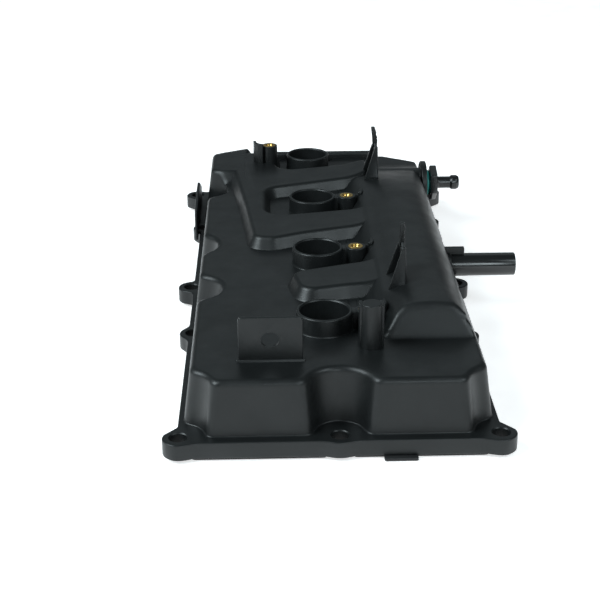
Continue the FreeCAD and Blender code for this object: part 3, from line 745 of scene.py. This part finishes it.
class CAMSHAFT_COVER_OT_valve(bpy.types.Operator):
    """Makes the breather valve's body with its hexagon and beaded nipple, and the O-ring behind it"""
    bl_idname = "camshaft_cover.valve"
    bl_label = "Breather valve"

    def execute(self, context):
        own = settings()
        start = (VALVE_START, VALVE_Y, VALVE_LEVEL)
        profile = chain([(3, 0), (7.9, 0), (7.9, 22.7), (10.6, 22.7), (10.6, 29.6), (5.2, 30.2), (4.9, 31),
                         (4.9, 40.6), (6.0, 42), (6.0, 45.8), (4.9, 48), (3, 48)],
                        (0.5, 0, 0.4, 0.5, 0.6, 0.4, 0.4, 0.5, 0.6, 0.5), 18)
        body = turned(profile, start, FACING_X, 64)
        passage = [(5.2, -1), (5.2, 25), (2.6, 25), (2.6, 47.5), (3.0, 47.9), (3.0, 49)]
        bore = turned(passage, start, FACING_X, 64)
        angles = np.radians(np.arange(6) * 60 + 20)
        corners = np.column_stack([np.cos(angles), np.sin(angles)]) * 25 / math.sqrt(3)
        edge = [(-1.2, 23.2), (-0.2, 23.6), (0, 24.2), (0, 28.2), (-0.2, 28.8), (-1.2, 29.2)]
        hexagon = carried(outline(corners, 0.9, 3.0), edge, FACING_X, start)
        material = moulded("valve_nylon", (0.006, 0.0066, 0.0068), 0.24, 1200, 0.03, 0.6, 0.6)
        made = combined("valve_body", [body, hexagon], [bore])
        finished(made, material, replaces=["pcv_valve_body"])
        turn = np.linspace(0, 2 * np.pi, 16, endpoint=False)
        section = np.column_stack([9.3 + 1.3 * np.cos(turn), 21.3 + 1.3 * np.sin(turn)])
        seal = mesh_object("valve_seal_ring", [turned(section, start, FACING_X, 72, loop=True)])
        rubber = moulded("teal_rubber_finish", own.seal_colour, 0.42, 1500, 0.04, 0.5, 0.2)
        finished(seal, rubber, replaces=["pcv_o_ring"])
        return {"FINISHED"}


class CAMSHAFT_COVER_OT_pipe(bpy.types.Operator):
    """Draws the breather pipe with its rounded mouth"""
    bl_idname = "camshaft_cover.pipe"
    bl_label = "Breather pipe"

    def execute(self, context):
        profile = chain([(6.4, 0), (7.65, 0), (7.65, 8.2), (8.3, 8.2), (8.3, 54.5), (6.4, 54.5), (6.4, 0)],
                        (0, 0, 0.4, 0.8, 0.5), 18)[:-1]
        tube = turned(profile, (PIPE_START, PIPE_Y, PIPE_LEVEL), FACING_X, 72, loop=True)
        material = moulded("pipe_nylon", (0.005, 0.0055, 0.0057), 0.20, 1200, 0.03, 0.6, 0.6)
        finished(mesh_object("pipe_tube", [tube]), material, replaces=["breather_pipe"])
        return {"FINISHED"}


class CAMSHAFT_COVER_OT_hidden_parts(bpy.types.Operator):
    """Gives the baffles, their screws and the valve's inner parts their finishes"""
    bl_idname = "camshaft_cover.hidden_parts"
    bl_label = "Baffles, screws and valve parts"

    def execute(self, context):
        baffle = moulded("baffle_nylon", (0.018, 0.018, 0.019), 0.5, 900, 0.06, 0.45, 0.4)
        steel = moulded("zinc_plated_steel", (0.55, 0.55, 0.53), 0.34, 1800, 0.03, 0.5, 0.1, 1.0)
        inner = moulded("plunger_finish", (0.50, 0.51, 0.52), 0.28, 2200, 0.02, 0.5, 0.1, 1.0)
        valve = moulded("seat_nylon", (0.014, 0.014, 0.015), 0.4, 1200, 0.04, 0.5, 0.3)
        finishes = {"pcv_chamber_baffle": baffle, "breather_chamber_baffle": baffle, "pcv_baffle_screws": steel,
                    "breather_baffle_screws": steel, "pcv_plunger": inner, "pcv_spring": steel,
                    "pcv_valve_seat": valve}
        for node, material in finishes.items():
            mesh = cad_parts[node].data
            mesh.materials.clear()
            mesh.materials.append(material)
        return {"FINISHED"}


def floor_mesh():
    """A round floor, 4 m in radius, whose rim curls up: a profile of (radius, height) turned about Z."""
    count = 96
    turn = np.linspace(0, 2 * np.pi, count, endpoint=False)
    profile = chain([(0.02, 0), (4.0, 0), (4.6, 0.12)], (0.5,), 8)
    rings = [np.column_stack([r * np.cos(turn), r * np.sin(turn), np.full(count, h - 0.0004)])
             for r, h in profile]
    index = np.arange(len(rings) * count).reshape(len(rings), count)
    quads = np.stack([index[:-1], index[1:], np.roll(index[1:], -1, 1), np.roll(index[:-1], -1, 1)], -1)
    mesh = bpy.data.meshes.new("floor")
    mesh.from_pydata(np.concatenate(rings).tolist(), [], quads.reshape(-1, 4).tolist() + [index[0].tolist()])
    mesh.shade_smooth()
    return mesh


def camera_matrix(place, pitch, yaw, roll):
    """The camera's axes and place: it looks along +Y, turned by yaw towards +X, tilted down by pitch, then
    rolled."""
    forward = np.array([math.sin(yaw) * math.cos(pitch), math.cos(yaw) * math.cos(pitch), -math.sin(pitch)])
    side = np.array([math.cos(yaw), -math.sin(yaw), 0])
    up = np.cross(side, forward)
    matrix = np.eye(4)
    matrix[:3, 0] = side * math.cos(roll) + up * math.sin(roll)
    matrix[:3, 1] = up * math.cos(roll) - side * math.sin(roll)
    matrix[:3, 2] = -forward
    matrix[:3, 3] = np.array(place) * MM
    return Matrix(matrix.tolist())


class CAMSHAFT_COVER_OT_stage(bpy.types.Operator):
    """Sets the floor, the soft lights and the camera"""
    bl_idname = "camshaft_cover.stage"
    bl_label = "Stage"

    def execute(self, context):
        scene = context.scene
        own = scene.camshaft_cover_stage
        floor = bpy.data.objects.new("floor", floor_mesh())
        scene.collection.objects.link(floor)
        paper = moulded("floor_paper", own.floor_colour, 0.85, 300, 0.0, 0.2, 0.0)
        glow = paper.node_tree.nodes["Principled BSDF"].inputs
        glow["Emission Color"].default_value = (1, 1, 1, 1)
        glow["Emission Strength"].default_value = 0.62
        floor.data.materials.append(paper)
        scene.view_settings.view_transform = "Standard"
        world = bpy.data.worlds.new("studio")
        scene.world = world
        world.use_nodes = True
        background = world.node_tree.nodes["Background"].inputs
        background["Color"].default_value = (*LIGHT_COLOUR, 1)
        background["Strength"].default_value = 0.13
        for name, where, size, power in (("key_light", (-1.2, -0.5, 1.2), 0.9, 36.0),
                                         ("fill_light", (1.1, -1.0, 1.3), 0.8, 12.0),
                                         ("front_light", (0.35, -1.7, 0.75), 0.5, 6.0),
                                         ("far_light", (0.1, 1.4, 1.2), 1.2, 1.5)):
            data = bpy.data.lights.new(name, "AREA")
            data.size = size
            data.energy = power
            data.color = LIGHT_COLOUR
            light = bpy.data.objects.new(name, data)
            light.location = where
            light.rotation_mode = "QUATERNION"
            light.rotation_quaternion = (-light.location).to_track_quat("-Z", "Y")
            scene.collection.objects.link(light)
        data = bpy.data.cameras.new("camera")
        data.lens = own.lens
        data.sensor_width = 36
        data.clip_start = 0.05
        camera = bpy.data.objects.new("camera", data)
        scene.collection.objects.link(camera)
        pitch, yaw, roll = (math.radians(angle) for angle in (23.71, 1.44, -0.31))
        camera.matrix_world = camera_matrix((-40.15, -894.4, 395.9), pitch, yaw, roll)
        scene.camera = camera
        return {"FINISHED"}


class CAMSHAFT_COVER_PT_sidebar(bpy.types.Panel):
    """Lists the cover's pieces and their settings"""
    bl_idname = "CAMSHAFT_COVER_PT_sidebar"
    bl_label = "Camshaft Cover"
    bl_space_type = "VIEW_3D"
    bl_region_type = "UI"
    bl_category = "Camshaft Cover"

    def draw(self, context):
        for group in (context.scene.camshaft_cover, context.scene.camshaft_cover_stage):
            for name in group.__annotations__:
                self.layout.prop(group, name)
        for operator in OPERATORS:
            self.layout.operator(operator.bl_idname)


OPERATORS = (
    CAMSHAFT_COVER_OT_shell,
    CAMSHAFT_COVER_OT_gasket,
    CAMSHAFT_COVER_OT_seals,
    CAMSHAFT_COVER_OT_inserts,
    CAMSHAFT_COVER_OT_valve,
    CAMSHAFT_COVER_OT_pipe,
    CAMSHAFT_COVER_OT_hidden_parts,
    CAMSHAFT_COVER_OT_stage,
)
CLASSES = (CoverSettings, StageSettings) + OPERATORS + (CAMSHAFT_COVER_PT_sidebar,)


def register():
    """Adds the classes and the two groups of settings."""
    for item in CLASSES:
        bpy.utils.register_class(item)
    bpy.types.Scene.camshaft_cover = bpy.props.PointerProperty(type=CoverSettings)
    bpy.types.Scene.camshaft_cover_stage = bpy.props.PointerProperty(type=StageSettings)


def unregister():
    """Takes them away again."""
    del bpy.types.Scene.camshaft_cover_stage
    del bpy.types.Scene.camshaft_cover
    for item in reversed(CLASSES):
        bpy.utils.unregister_class(item)


def main():
    """Runs every operator in order."""
    register()
    for operator in OPERATORS:
        group, name = operator.bl_idname.split(".")
        getattr(getattr(bpy.ops, group), name)()


if __name__ == "__main__":
    main()
